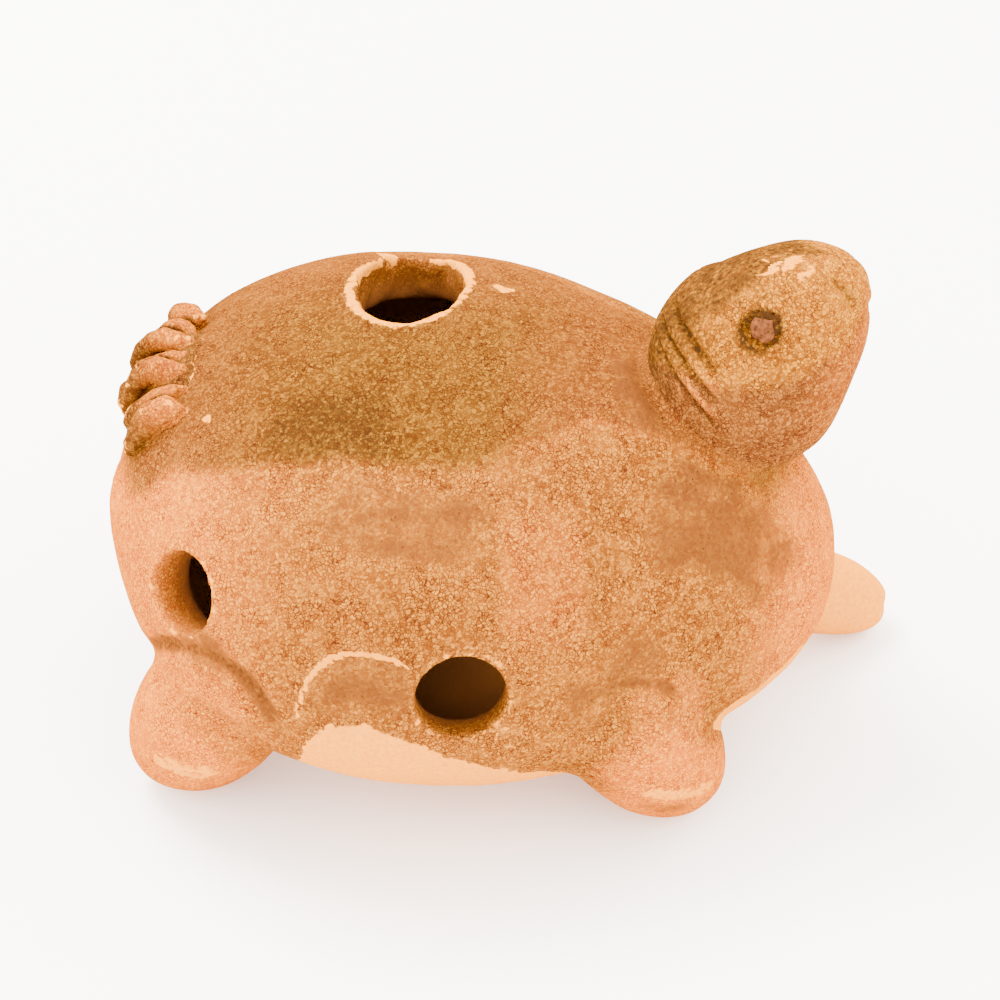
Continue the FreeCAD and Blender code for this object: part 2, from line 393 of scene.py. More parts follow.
# Neck wrinkles, each (places, width, height). Deep ones get painted shade, and high ones a painted
# highlight.
WRINKLES = (
    (((7.9, 20), (8.1, 45), (7.8, 72), (7.2, 98)), 0.36, -0.45),
    (((9.2, 8), (9.6, 35), (9.7, 60), (9.2, 90)), 0.36, -0.75),
    (((11.1, 8), (11.4, 32), (11.6, 56), (11.4, 82)), 0.42, -0.75),
    (((10.1, 8), (10.5, 35), (10.7, 60), (10.3, 86)), 0.45, 0.85),
    (((8.5, 8), (8.9, 32), (8.8, 60), (8.2, 94)), 0.38, 0.65),
    (((12.4, 15), (12.8, 35), (12.9, 62)), 0.9, 0.45),
)
WRINKLE_SHADE = 0.8
WRINKLE_HIGHLIGHT = 0.9
HIGHLIGHT_HEIGHT = 0.5

# Nostrils, mouth and jaw, each (places, width, height, painted shade in the groove).
FACE = (
    (((22.9, 88), (22.7, 112), (22.3, 135), (21.6, 150)), 0.45, -0.35, 0.5),
    (((23.3, 120), (22.9, 145), (22.2, 160)), 0.45, 0.3, 0.0),
    (((22.4, 172), (21.7, 160), (20.9, 155)), 0.6, 0.2, 0.0),
    (((20.9, 178), (20.6, 162), (19.8, 150)), 0.5, -0.25, 0.3),
    (((18.4, 140), (16.4, 132), (14.1, 127), (12.0, 122)), 0.9, -0.35, 0.15),
    (((18.0, 154), (15.5, 145), (13.0, 140)), 1.4, 0.3, 0.0),
)

# Scratches and worn spots on the snout, each (places, width, bareness), all of one depth.
SNOUT_WEAR = (
    (((17.9, -28), (19.0, -38), (20.0, -40), (20.8, -34)), 0.24, 1.3),
    (((19.6, -39), (20.5, -30), (21.4, -28)), 0.2, 1.2),
    (((20.4, -40), (21.4, -34), (22.4, -12)), 1.0, 0.62),
    (((20.9, -62), (22.0, -56), (22.9, -30)), 0.7, 0.58),
    (((20.2, -22), (20.9, -8), (21.6, 8)), 0.6, 0.58),
    (((19.4, -18), (20.2, -28)), 0.22, 0.7),
)
SNOUT_WEAR_HEIGHT = -0.12

# Eyes: a dish in the cheek with a dark ring, and a clay pellet sunk into it.
EYE_ALONG = 16.9
EYE_TURN = 76.0
CHEEK_RADIUS = 8.1
EYE_DISH = 1.95
EYE_DISH_DEPTH = 0.5
EYE_DISH_EDGE = 0.25
EYE_RING_RADIUS = 1.4
PELLET_RADIUS = 1.15
PELLET_HALF_DEPTH = 0.5
PELLET_SINK = 0.42
PELLET_BLOCK = 2.5


def eye_ring(side, radius):
    """Path on the cheek round an eye."""
    aside = math.degrees(radius / CHEEK_RADIUS)
    return [
        on_head(EYE_ALONG + radius * math.cos(t), side * (EYE_TURN + aside * math.sin(t)))
        for t in turns(14)
    ]


def head_marks():
    """Neck wrinkles with painted shade and highlights, nostrils, mouth, jaw and eye rings on both sides, the
    flat crown and worn snout.
    """
    marks = []
    for side in (-1.0, 1.0):
        for places, width, height in WRINKLES:
            path = head_path(*[(along, side * turn) for along, turn in places])
            # Painted shade in the wrinkle grooves and a painted highlight on the high ridges.
            stain_and_shade = WRINKLE_SHADE if height < 0.0 else 0.0
            pale = WRINKLE_HIGHLIGHT if height > HIGHLIGHT_HEIGHT else 0.0
            marks.append(Mark(path, width, height, stain_and_shade=stain_and_shade, pale=pale))
        for places, width, height, stain_and_shade in FACE:
            path = head_path(*[(along, side * turn) for along, turn in places])
            marks.append(Mark(path, width, height, stain_and_shade=stain_and_shade))
        ring = eye_ring(side, EYE_RING_RADIUS)
        marks.append(Mark(ring, 0.6, 0.0, fading=False, spread=1.3, stain_and_shade=0.95))
    crown = head_path((12.4, 12), (16.5, 14), (20.5, 14), (24.0, 8))
    marks.append(Mark(crown, 4.4, -0.8))
    for places, width, bare in SNOUT_WEAR:
        marks.append(Mark(head_path(*places), width, SNOUT_WEAR_HEIGHT, spread=1.1, bare=bare))
    return marks


# Crease above each rear foot and the swelling below it, given on the left.
REAR_CREASE = (
    (-31.3, 14.5, 15.0),
    (-30.7, 17.2, 17.3),
    (-28.2, 20.6, 20.8),
    (-24.6, 23.8, 22.9),
    (-21.2, 25.8, 22.6),
    (-19.0, 26.8, 20.6),
    (-17.6, 27.1, 17.4),
    (-17.4, 26.0, 14.2),
)
REAR_SHOULDER = ((-28.6, 20.2, 17.2), (-25.2, 23.4, 19.4), (-21.9, 25.2, 19.2), (-19.8, 25.9, 16.8))


def foot_marks():
    """Creases with painted shade and swellings where the feet are luted on, and the worn edges of their
    soles.
    """
    marks = []
    for side in (-1.0, 1.0):
        crease = smooth_path([(x, side * y, z) for x, y, z in REAR_CREASE])
        # The crease is painted darker with the smear colour as shade.
        marks.append(Mark(crease, 0.95, -0.75, smear_and_shade=0.85))
        shoulder = [(x, side * y, z) for x, y, z in REAR_SHOULDER]
        marks.append(Mark(shoulder, 2.4, 0.9, pale=0.9))
    rear_toe = [(-30.2, -20.4, 8.6), (-28.6, -21.9, 8.0), (-26.2, -22.6, 7.6), (-23.4, -22.6, 8.6)]
    rear_slip = [(-27.6, -22.4, 22.6), (-24.4, -24.4, 23.6), (-21.4, -25.4, 23.0)]
    front_shoulder = [(12.4, -22.0, 17.0), (16.8, -19.6, 16.8), (18.8, -18.2, 15.0)]
    front_shin = [(13.0, -22.6, 12.0), (17.0, -20.6, 12.0), (19.6, -18.4, 11.0)]
    front_crease = [
        (9.4, -23.5, 18.6),
        (10.2, -23.1, 19.8),
        (12.6, -21.8, 20.2),
        (15.4, -20.6, 19.2),
        (18.0, -19.4, 17.3),
    ]
    front_crack = [(9.4, -23.8, 19.0), (10.6, -23.3, 20.1), (12.8, -22.2, 20.4)]
    front_crack_end = [(16.6, -20.6, 18.6), (18.2, -19.5, 17.3)]
    front_toe = [(13.9, -23.0, 9.2), (15.9, -21.8, 7.8), (18.5, -20.0, 7.0), (20.6, -17.1, 6.0)]
    front_sole = [(14.1, -21.8, 6.4), (16.0, -20.6, 4.9), (18.8, -18.6, 4.4)]
    front_left_toe = [(35.6, 15.8, 4.0), (35.6, 15.8, 0.5)]
    marks += [
        Mark(rear_toe, 1.7, 0.0, bare=0.68),
        Mark(rear_slip, 1.8, 0.0, smear_and_shade=0.8),
        Mark(front_shoulder, 2.4, 0.7, spread=1.2, pale=0.4),
        Mark(front_shin, 4.6, 0.0, spread=1.2, pale=0.55),
        # Painted shade along the front right foot's crease.
        Mark(smooth_path(front_crease), 0.7, -0.5, smear_and_shade=0.8),
        Mark(front_crack, 0.34, -0.45, stain_and_shade=1.1),
        Mark(front_crack_end, 0.3, -0.3, stain_and_shade=0.8),
        Mark(front_toe, 1.1, 0.2, bare=0.68),
        Mark(front_sole, 1.1, 0.0, smear_and_shade=0.55),
        Mark(front_left_toe, 2.6, -0.8),
    ]
    return marks


def hole_marks():
    """Worn lips of the three sound holes, and the pressed circle and scars by the flank hole."""
    marks = [
        Mark(hole_rim(0.6), 0.6, 0.35, fading=False, spread=1.05, bare=0.8),
        Mark(skin_path((-13.4, 14.0, 39.5), (-11.4, 14.6, 39.3)), 1.2, 0.0, bare=0.9),
    ]
    for centre, out, radius in FINGER_HOLES:
        marks.append(Mark(ring_path(centre, out, radius + 0.5), 0.45, 0.08, fading=False, bare=0.42))
    arc = skin_path(
        (-15.4, -27.6, 17.6),
        (-15.3, -27.9, 21.0),
        (-13.8, -27.8, 24.6),
        (-11.3, -27.5, 26.4),
        (-9.0, -27.5, 26.5),
        (-6.5, -27.5, 25.7),
        (-5.2, -27.7, 24.3),
    )
    marks.append(Mark(arc, 0.4, 0.35, spread=0.7, bare=1.2))
    pressed = skin_path((-13.0, -28.0, 19.4), (-11.4, -28.0, 23.0), (-8.0, -28.0, 23.2), (-6.6, -28.0, 19.6))
    marks.append(Mark(pressed, 2.5, -0.4, spread=1.15, smear_and_shade=0.66))
    for centre in ((2.6, -26.3, 17.2), (4.2, -25.6, 16.0)):
        marks.append(Mark(ring_path(centre, (0.33, -0.94, -0.1), 1.15), 0.2, 0.15, fading=False, bare=0.5))
    marks.append(Mark(skin_path((2.7, -26.3, 17.0), (4.4, -25.6, 16.0)), 0.16, -0.25, stain_and_shade=0.8))
    return marks


# Unevenness of the body, each (path, width, height): broad swellings and hollows left by the hands.
SWELLINGS = (
    (((-30.4, -9.0, 10.5), (-31.0, 4.0, 10.5)), 7.0, 0.9),
    (((-35.2, -6.0, 30.0), (-35.2, 6.0, 30.0)), 6.0, -0.75),
    (((27.0, -9.0, 25.0), (29.0, 4.0, 25.0)), 8.0, 0.9),
    (((-19.0, 9.0, 39.0), (-11.0, 14.0, 39.5)), 6.0, 0.45),
)

# Slip smeared round the neck, thicker glaze, and painted shade in the hollow beside the front right foot,
# each (places on the skin, width, height, share of the smear colour).
SMEARS = (
    (((10.8, 1.0, 41.0), (11.4, -4.0, 39.9), (13.0, -7.2, 38.3), (14.4, -8.6, 37.0)), 1.5, 0.35, 0.75),
    (((15.0, -9.4, 36.4), (17.8, -10.0, 35.0), (20.4, -9.6, 33.2), (23.0, -8.0, 32.0)), 1.2, 0.3, 0.7),
    (((12.0, -14.5, 33.5), (18.0, -13.0, 31.0), (22.5, -11.0, 28.0), (23.5, -10.0, 22.0)), 4.4, 0.0, 0.8),
    # Painted shade in the hollow beside the front right foot.
    (((6.0, -22.5, 17.0), (12.0, -21.0, 22.5), (16.5, -18.5, 21.0)), 3.2, 0.0, 0.5),
    (((-15.0, -18.8, 36.0), (-6.0, -20.6, 35.0), (2.0, -19.8, 34.6)), 3.6, 0.0, 0.6),
)

# Chips and crumbs on the back, each (places on the skin, width, height, bareness).
CHIPS = (
    (((-2.1, 8.6, 41.1), (-1.0, 7.6, 41.1), (0.1, 7.9, 41.1)), 0.5, -0.2, 1.0),
    (((-1.1, 7.4, 41.1), (-0.9, 6.9, 41.1)), 0.4, -0.2, 0.9),
    (((7.2, 4.6, 40.3), (7.6, 4.2, 40.2)), 0.4, -0.1, 0.5),
    (((-25.5, -9.4, 37.4), (-24.8, -10.3, 37.4)), 0.5, 0.5, 0.85),
)


def body_marks():
    """Unevenness, smears and chips of the body, its paler and darker clouds, and a pit by the neck."""
    marks = [Mark(path, width, height) for path, width, height in SWELLINGS]
    for places, width, height, smear_and_shade in SMEARS:
        marks.append(Mark(skin_path(*places), width, height, smear_and_shade=smear_and_shade))
    for places, width, height, bare in CHIPS:
        marks.append(Mark(skin_path(*places), width, height, bare=bare))
    pale_cloud = skin_path((1.0, -22.0, 31.0), (9.0, -20.0, 30.5))
    dark_cloud = skin_path((-20.0, -11.0, 39.0), (-14.0, -12.6, 39.0), (-8.0, -12.0, 39.6))
    neck_pit = [(23.7, -5.9, 32.9), (24.3, -5.5, 32.6)]
    marks += [
        Mark(pale_cloud, 6.0, 0.0, pale=0.35),
        Mark(dark_cloud, 4.2, 0.0, stain_and_shade=0.5),
        Mark(neck_pit, 0.4, -0.45, stain_and_shade=0.6),
    ]
    return marks


MARKS = head_marks() + foot_marks() + hole_marks() + body_marks()

# How many widths away from its path a mark is still worked out.
MARK_REACH = 2.6


def near_mark(mark, x, y, z):
    """Share of a mark felt at points, from 0 to 1, for its relief and for its colour."""
    gap, where = along_path(x, y, z, mark.path)
    relief = np.exp(-((gap / mark.width) ** 2))
    colour = np.exp(-((gap / (mark.width * mark.spread)) ** 4))
    if mark.fading:
        ends = 1.0 - np.abs(2.0 * where - 1.0) ** 5
        relief, colour = relief * ends, colour * ends
    return relief, colour


def mark_box(mark):
    """Corners of the box outside which a mark does nothing."""
    margin = MARK_REACH * mark.width * max(mark.spread, 1.0)
    low = [min(p[k] for p in mark.path) - margin for k in range(3)]
    high = [max(p[k] for p in mark.path) + margin for k in range(3)]
    return low, high


def apply_marks(field, lattice):
    """Raise and press the shared marks into a field, with the unevenness of clay shaped by hand."""
    for layer in HAND_ROUGH:
        field = field - rough(lattice.x, lattice.y, lattice.z, layer)
    for mark in MARKS:
        found = lattice.window(*mark_box(mark))
        if found is None:
            continue
        cut, x, y, z = found
        field[cut] -= mark.height * near_mark(mark, x, y, z)[0]
    return field.astype(np.float32)


def sample(block, lattice, points):
    """Values of a block at points, in millimetres."""
    place = points / lattice.step - np.array(lattice.start)
    place = np.clip(place, 0.0, np.array(lattice.shape) - 1.001)
    base = np.floor(place).astype(int)
    part = place - base
    total = np.zeros(len(points))
    for corner in np.ndindex(2, 2, 2):
        weight = np.prod(np.where(corner, part, 1.0 - part), axis=1)
        total += weight * block[tuple((base + corner).T)]
    return total


# Lower edge of the glaze: heights at places from tail to head, on the right and the left side, and
# the height of the edge on the right feet.
CLAY_RIGHT_ALONG = (-22.0, -17.0, -15.0, -12.8, -9.3, -5.6, -2.4, 5.0, 8.0, 12.0, 18.0, 20.0, 24.0, 29.0)
CLAY_RIGHT_EDGE = (2.6, 8.4, 16.4, 19.1, 19.5, 17.8, 15.2, 11.0, 8.0, 3.6, 4.0, 11.8, 12.9, 14.2)
CLAY_LEFT_ALONG = (-22.0, -17.0, 5.0, 18.0, 20.0, 29.0, 30.5)
CLAY_LEFT_EDGE = (2.5, 9.0, 10.0, 11.0, 12.0, 14.0, 40.0)
CLAY_FOOT_EDGE = 1.2

# Edge of the amber glaze: half widths on the back from tail to head, and turns on the head.
AMBER_ALONG = (-33.0, -25.0, -20.0, -3.0, 3.8, 9.0, 20.0)
AMBER_EDGE = (13.0, 15.5, 16.2, 17.2, 13.5, 9.5, 8.0)
AMBER_HEAD_ALONG = (6.0, 10.5, 13.0, 16.0, 20.0, 24.0)
AMBER_HEAD_EDGE = (30.0, 80.0, 100.0, 120.0, 150.0, 185.0)

# Edge of the dark slip over the nape: turns on the head.
NAPE_ALONG = (8.0, 14.0, 20.0, 23.0)
NAPE_EDGE = (60.0, 58.0, 50.0, 14.0)

# Where each tone begins and where it is full, in millimetres, but in degrees for the first two.
AMBER_HEAD_FADE = (-9.0, 9.0)
NAPE_FADE = (-24.0, 20.0)
SNOUT_PALE = (24.0, 40.0)
AMBER_FADE = (-0.8, 1.2)
AMBER_HEIGHT = (29.0, 32.0)
REAR_PALE = (-13.0, -33.0)
FRONT_PALE = (20.0, 29.0)
LEFT_THIN = (-4.0, 12.0)
FRONT_THIN = (-2.0, 8.0)
THIN_HEIGHT = (30.0, 34.0)
BEYOND_PALE = (0.4, 3.6)
BEYOND_PALE_HEIGHT = (24.0, 20.0)
CLAY_FADE = (0.8, -0.8)
INSIDE_FADE = (0.3, 4.6)

# How sharp a bend begins to take painted shade in a groove or to wear bare on a ridge, and is full.
GROOVE_BEND = (-0.5, -2.2)
RIDGE_BEND = (0.9, 2.6)

# Strength of tones. Painted shade in grooves and wear on ridges differ between regions.
GROOVE_PAINTED_SHADE = {"body": 0.4, "head": 0.4, "foot": 0.4, "tail": 0.8}
RIDGE_WEAR = {"body": 0.5, "head": 0.2, "foot": 0.5, "tail": 0.5}
NAPE_SMEAR = 0.5
NAPE_STAIN = 0.58
REAR_PALE_SHARE = 0.9
LEFT_THIN_SHARE = 0.85
TAIL_AMBER_SHARE = 0.5


def clay_edge(x, y):
    """Height below which the glaze stops and the clay is bare."""
    right = np.interp(x, CLAY_RIGHT_ALONG, CLAY_RIGHT_EDGE)
    left = np.interp(x, CLAY_LEFT_ALONG, CLAY_LEFT_EDGE)
    return np.where(y < 0.0, right, left)


def bend_of(field, lattice, points):
    """How sharply the skin bends at points: above zero on ridges, below zero in grooves."""
    slopes = np.gradient(field, lattice.step)
    bend = sum(np.gradient(slope, lattice.step, axis=k) for k, slope in enumerate(slopes))
    return sample(bend, lattice, points)


def head_glaze(x, y, z):
    """Amber and pale glaze on the head, and the slip over its nape."""
    along, turn = head_place(x, y, z)
    edge = np.interp(along, AMBER_HEAD_ALONG, AMBER_HEAD_EDGE)
    amber = smooth_step(*AMBER_HEAD_FADE, edge - np.abs(turn) + rough(x, y, z, AMBER_HEAD_ROUGH))
    edge = np.interp(along, NAPE_ALONG, NAPE_EDGE)
    nape = smooth_step(*NAPE_FADE, edge - np.abs(turn) + rough(x, y, z, NAPE_ROUGH))
    return amber, smooth_step(*SNOUT_PALE, x), nape


def body_glaze(x, y, z):
    """Amber and pale glaze on everything but the head."""
    edge = np.interp(x, AMBER_ALONG, AMBER_EDGE)
    amber = smooth_step(*AMBER_FADE, edge - np.abs(y) + rough(x, y, z, AMBER_ROUGH))
    amber = amber * smooth_step(*AMBER_HEIGHT, z)
    pale = np.maximum(REAR_PALE_SHARE * smooth_step(*REAR_PALE, x), smooth_step(*FRONT_PALE, x))
    thin = np.maximum(LEFT_THIN_SHARE * smooth_step(*LEFT_THIN, y), smooth_step(*FRONT_THIN, x))
    beyond = egg_distance(x, y, z) + rough(x, y, z, BEYOND_ROUGH)
    beyond = smooth_step(*BEYOND_PALE, beyond) * smooth_step(*BEYOND_PALE_HEIGHT, z)
    pale = np.maximum(pale, beyond)
    return amber, np.maximum(pale, thin * amber * smooth_step(*THIN_HEIGHT, z))


def masks_at(points, bend, region):
    """Masks of glaze and wear at points; region is body, head, foot or tail."""
    x, y, z = points.T
    clay_top = clay_edge(x, y)
    nape = np.zeros_like(x)
    if region == "head":
        amber, pale, nape = head_glaze(x, y, z)
    else:
        amber, pale = body_glaze(x, y, z)
    if region == "tail":
        amber = TAIL_AMBER_SHARE * amber
        pale = np.zeros_like(x)
    if region == "foot":
        clay_top = np.where(y < 0.0, CLAY_FOOT_EDGE, clay_top)
    masks = {
        "amber": amber,
        "pale": pale,
        "smear_and_shade": NAPE_SMEAR * nape,
        # Painted shade in grooves, from how sharply the skin bends, and the dark slip over the nape.
        "stain_and_shade": np.maximum(GROOVE_PAINTED_SHADE[region] * smooth_step(*GROOVE_BEND, bend), NAPE_STAIN * nape),
        "bare": RIDGE_WEAR[region] * smooth_step(*RIDGE_BEND, bend),
        "inside": np.zeros_like(x),
    }
    if region == "body":
        masks["inside"] = smooth_step(*INSIDE_FADE, -egg_distance(x, y, z))
    for mark in MARKS:
        low, high = mark_box(mark)
        near = np.all((points > low) & (points < high), axis=1)
        if mark.masks and near.any():
            strength = near_mark(mark, x[near], y[near], z[near])[1]
            for name, value in mark.masks.items():
                masks[name][near] = np.maximum(masks[name][near], value * strength)
    clay = smooth_step(*CLAY_FADE, z - clay_top + rough(x, y, z, CLAY_ROUGH))
    masks["bare"] = np.maximum(masks["bare"], clay * (1.0 - masks["smear_and_shade"]))
    return masks


def tint(obj, field, lattice, region):
    """Store the masks at every point of the mesh."""
    mesh = obj.data
    points = corners(mesh).astype(float) / METRE
    for name, values in masks_at(points, bend_of(field, lattice, points), region).items():
        mesh.attributes.new(name, "FLOAT", "POINT").data.foreach_set("value", values.astype(np.float32))


def placed(name, data):
    """New object in the scene."""
    obj = bpy.data.objects.new(name, data)
    bpy.context.scene.collection.objects.link(obj)
    return obj


def skinned(name, field, lattice, region):
    """Mesh object on a field's zero surface."""
    grid = openvdb.FloatGrid(float(field.max()))
    grid.transform = openvdb.createLinearTransform(voxelSize=lattice.step)
    grid.copyFromArray(np.ascontiguousarray(field, np.float32), ijk=lattice.start)
    points, quads = grid.convertToQuads(0.0)
    mesh = bpy.data.meshes.new(name)
    mesh.vertices.add(len(points))
    mesh.vertices.foreach_set("co", (points * METRE).astype(np.float32).ravel())
    mesh.loops.add(len(quads) * 4)
    mesh.loops.foreach_set("vertex_index", quads.astype(np.int32).ravel())
    mesh.polygons.add(len(quads))
    mesh.polygons.foreach_set("loop_start", np.arange(0, len(quads) * 4, 4, dtype=np.int32))
    mesh.update(calc_edges=True)
    mesh.validate()
    mesh.shade_smooth()
    obj = placed(name, mesh)
    tint(obj, field, lattice, region)
    return obj


def along_line(x, y, z, middle, out):
    """How far along a line and how far away from it places lie; out has length one."""
    px, py, pz = x - middle[0], y - middle[1], z - middle[2]
    along = px * out[0] + py * out[1] + pz * out[2]
    across = np.sqrt(np.maximum(px * px + py * py + pz * pz - along * along, 0.0))
    return along, across


def finger_bar(x, y, z, middle, out, radius):
    """Field of the round bar that cuts a finger hole: negative inside."""
    length = math.sqrt(sum(v * v for v in out))
    along, across = along_line(x, y, z, middle, [v / length for v in out])
    return np.where(along > -FINGER_HOLE_REACH, across - radius, FAR_OUTSIDE)


def blow_bar(x, y, z):
    """Field of the oval bar that cuts the blow hole: negative inside."""
    half_length, half_width = BLOW_HOLE_HALF
    oval = np.sqrt(((x - BLOW_HOLE[0]) / half_length) ** 2 + ((y - BLOW_HOLE[1]) / half_width) ** 2)
    bar = (oval - 1.0) * sum(BLOW_HOLE_HALF) / 2.0
    for layer in BLOW_HOLE_ROUGH:
        bar = bar + rough(x, y, z, layer)
    return np.where(z > BODY_CENTRE[2], bar, FAR_OUTSIDE)


def body_field(lattice):
    """Hollow body with its three holes."""
    x, y, z = lattice.x, lattice.y, lattice.z
    outer = apply_marks(egg_distance(x, y, z), lattice)
    cavity = egg_distance(x, y, z, -WALL) + rough(x, y, z, CAVITY_ROUGH)
    field = np.maximum(outer, -cavity)
    field = smooth_max(field, -blow_bar(x, y, z), BLOW_HOLE_EDGE)
    for middle, out, radius in FINGER_HOLES:
        field = smooth_max(field, -finger_bar(x, y, z, middle, out, radius), FINGER_HOLE_EDGE)
    return field


def ground(field, lattice):
    """Field with everything under the standing surface taken off."""
    return smooth_max(field, -lattice.z, SOLE_EDGE)


def seam_half(whole, name, upper):
    """Half of the body above or below the seam, closed across its wall."""
    mesh = whole.data.copy()
    work = bmesh.new()
    work.from_mesh(mesh)
    cut = bmesh.ops.bisect_plane(
        work,
        geom=work.verts[:] + work.edges[:] + work.faces[:],
        plane_co=(0.0, 0.0, SEAM_HEIGHT * METRE),
        plane_no=(0.0, 0.0, 1.0),
        clear_inner=upper,
        clear_outer=not upper,
    )
    rims = [part for part in cut["geom_cut"] if isinstance(part, bmesh.types.BMEdge)]
    for face in bmesh.ops.bridge_loops(work, edges=rims)["faces"]:
        face.smooth = False
    for edge in rims:
        edge.smooth = False
    bmesh.ops.recalc_face_normals(work, faces=work.faces)
    work.to_mesh(mesh)
    work.free()
    return placed(name, mesh)


def eye_place(side):
    """Middle of an eye on the cheek, and the way it looks."""
    middle = on_head(EYE_ALONG, side * EYE_TURN)
    out = on_head(EYE_ALONG, side * EYE_TURN, 1.0) - middle
    return middle, out / np.linalg.norm(out)


def flat_lump(lattice, middle, out, radius, half_depth):
    """Rough distance to a flattened round lump."""
    deep, wide = along_line(lattice.x, lattice.y, lattice.z, middle, out)
    return (np.sqrt((wide / radius) ** 2 + (deep / half_depth) ** 2) - 1.0) * half_depth


def eye(name, side):
    """Clay pellet with a torn edge, pressed flat in its dish."""
    middle, out = eye_place(side)
    lattice = Lattice(middle - PELLET_BLOCK, middle + PELLET_BLOCK, EYE_STEP)
    pellet = flat_lump(lattice, middle - out * PELLET_SINK, out, PELLET_RADIUS, PELLET_HALF_DEPTH)
    torn = rough(lattice.x, lattice.y, lattice.z, PELLET_ROUGH)
    return skinned(name + "_clay", pellet + torn, lattice, "head")


def limb(nodes, slip, fillet):
    """A limb and its slip roll, each a closed piece sunk into its neighbours."""
    name = nodes[0]
    region = "head" if name == "head" else "foot"
    lattice = node_lattice(nodes + (slip,), LIMB_STEP)
    own = apply_marks(node_field(lattice, *nodes), lattice)
    if name == "head":
        for side in (-1.0, 1.0):
            dish = flat_lump(lattice, *eye_place(side), EYE_DISH, EYE_DISH_DEPTH)
            own = smooth_max(own, -dish, EYE_DISH_EDGE)
    body = apply_marks(egg_distance(lattice.x, lattice.y, lattice.z), lattice)
    seam = smooth_min(own, body, fillet) + FEATHER
    seam = np.maximum(seam, np.maximum(own - fillet, body - fillet))
    seam = np.maximum(seam, -np.minimum(own, body) - SUNK)
    return (
        skinned(name + "_clay", ground(own, lattice), lattice, region),
        skinned(slip + "_clay", ground(seam, lattice), lattice, "body"),
    )


def show(obj, node, material):
    """Put a finished piece in place of its node."""
    obj.data.materials.append(material)
    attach(obj, "root")
    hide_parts(node)


def add_node(tree, kind, values=None, **settings):
    made = tree.nodes.new(kind)
    for name, value in settings.items():
        setattr(made, name, value)
    for key, value in (values or {}).items():
        if isinstance(value, bpy.types.NodeSocket):
            tree.links.new(value, made.inputs[key])
        else:
            made.inputs[key].default_value = value
    return made


def mix(tree, share, first, second):
    """Colour between two, by a share."""
    return add_node(tree, "ShaderNodeMix", {0: share, 6: first, 7: second}, data_type="RGBA").outputs[2]


def ramp(tree, value, low, high, start=0.0, end=1.0):
    """Number stretched from low..high to start..end, and held there outside."""
    return add_node(tree, "ShaderNodeMapRange", {0: value, 1: low, 2: high, 3: start, 4: end}).outputs[0]


def mask(tree, name):
    return add_node(tree, "ShaderNodeAttribute", attribute_name=name).outputs["Fac"]


def product(tree, a, b):
    return add_node(tree, "ShaderNodeMath", {0: a, 1: b}, operation="MULTIPLY").outputs[0]


def add(tree, a, b):
    return add_node(tree, "ShaderNodeMath", {0: a, 1: b}, operation="ADD").outputs[0]


def ragged(tree, name, grain, reach, low, high):
    """Mask with its edge broken up by a grain."""
    broken = add(tree, mask(tree, name), ramp(tree, grain, 0.3, 0.7, -reach, reach))
    return ramp(tree, broken, low, high)


def noise_node(tree, place, scale, detail):
    values = {"Vector": place, "Scale": scale, "Detail": detail}
    return add_node(tree, "ShaderNodeTexNoise", values).outputs[0]


def cell_node(tree, place, scale, output, **settings):
    made = add_node(tree, "ShaderNodeTexVoronoi", {"Vector": place, "Scale": scale}, **settings)
    return made.outputs[output]


# Scales of the patterns in the glaze and the bare clay, per metre.
CRACKLE = 3100.0
WOBBLE = 900.0
PITS = 1500.0
GRAIN = 2600.0
PATCHES = 420.0
CLOUDS = 110.0
CRUMBS = 1300.0
CLAY_GRAIN = 2200.0
CLAY_SPECKS = 2400.0

# How far the wobble moves the crackle, and the depths of the bump, in metres.
WOBBLE_REACH = 0.0009
GLAZE_BUMP = 0.00007
CLAY_BUMP = 0.0001

GLAZE_ROUGHNESS = 0.42
CLAY_ROUGHNESS = 0.8

# Colours of a glaze: (deep, light, cells, crack lines).
PINK = ((0.125, 0.032, 0.002), (0.20, 0.055, 0.003), (0.34, 0.122, 0.009), (0.045, 0.008, 0.003))
# Pale glaze; also the painted highlight on the neck's wrinkle ridges.
PALE_AND_HIGHLIGHT = ((0.36, 0.076, 0.002), (0.46, 0.104, 0.002), (0.56, 0.175, 0.006), (0.17, 0.030, 0.003))
AMBER = ((0.055, 0.0175, 0.002), (0.095, 0.032, 0.003), (0.17, 0.070, 0.005), (0.030, 0.006, 0.002))
BACK = ((0.095, 0.026, 0.003), (0.155, 0.042, 0.004), (0.23, 0.075, 0.007), (0.052, 0.010, 0.003))
HEAD_PINK = ((0.075, 0.020, 0.004), (0.12, 0.034, 0.005), (0.24, 0.082, 0.012), (0.034, 0.006, 0.003))
HEAD_AMBER = ((0.12, 0.034, 0.001), (0.23, 0.066, 0.002), (0.40, 0.150, 0.005), (0.055, 0.011, 0.002))
# Thin amber on the head; also the painted highlight on wrinkle ridges in the amber.
HEAD_THIN_AND_HIGHLIGHT = ((0.24, 0.070, 0.002), (0.36, 0.115, 0.003), (0.50, 0.190, 0.006), (0.10, 0.022, 0.003))
TAIL = ((0.060, 0.017, 0.004), (0.110, 0.030, 0.004), (0.20, 0.064, 0.008), (0.034, 0.008, 0.003))
# Colour of smeared slip, and of painted shade in foot creases and the hollow by the front right foot.
SMEAR_AND_SHADE = (0.085, 0.023, 0.005)
HEAD_SMEAR = (0.040, 0.014, 0.004)
# Colour of stains, of painted shade in grooves, and of the specks in bare clay.
STAIN_AND_SHADE = (0.026, 0.010, 0.003)
PIT = (0.014, 0.005, 0.002)
HOLLOW = (0.11, 0.036, 0.010)
CLAY = ((0.50, 0.150, 0.004), (0.60, 0.210, 0.010))
EYE_CLAY = ((0.055, 0.016, 0.006), (0.13, 0.040, 0.012))


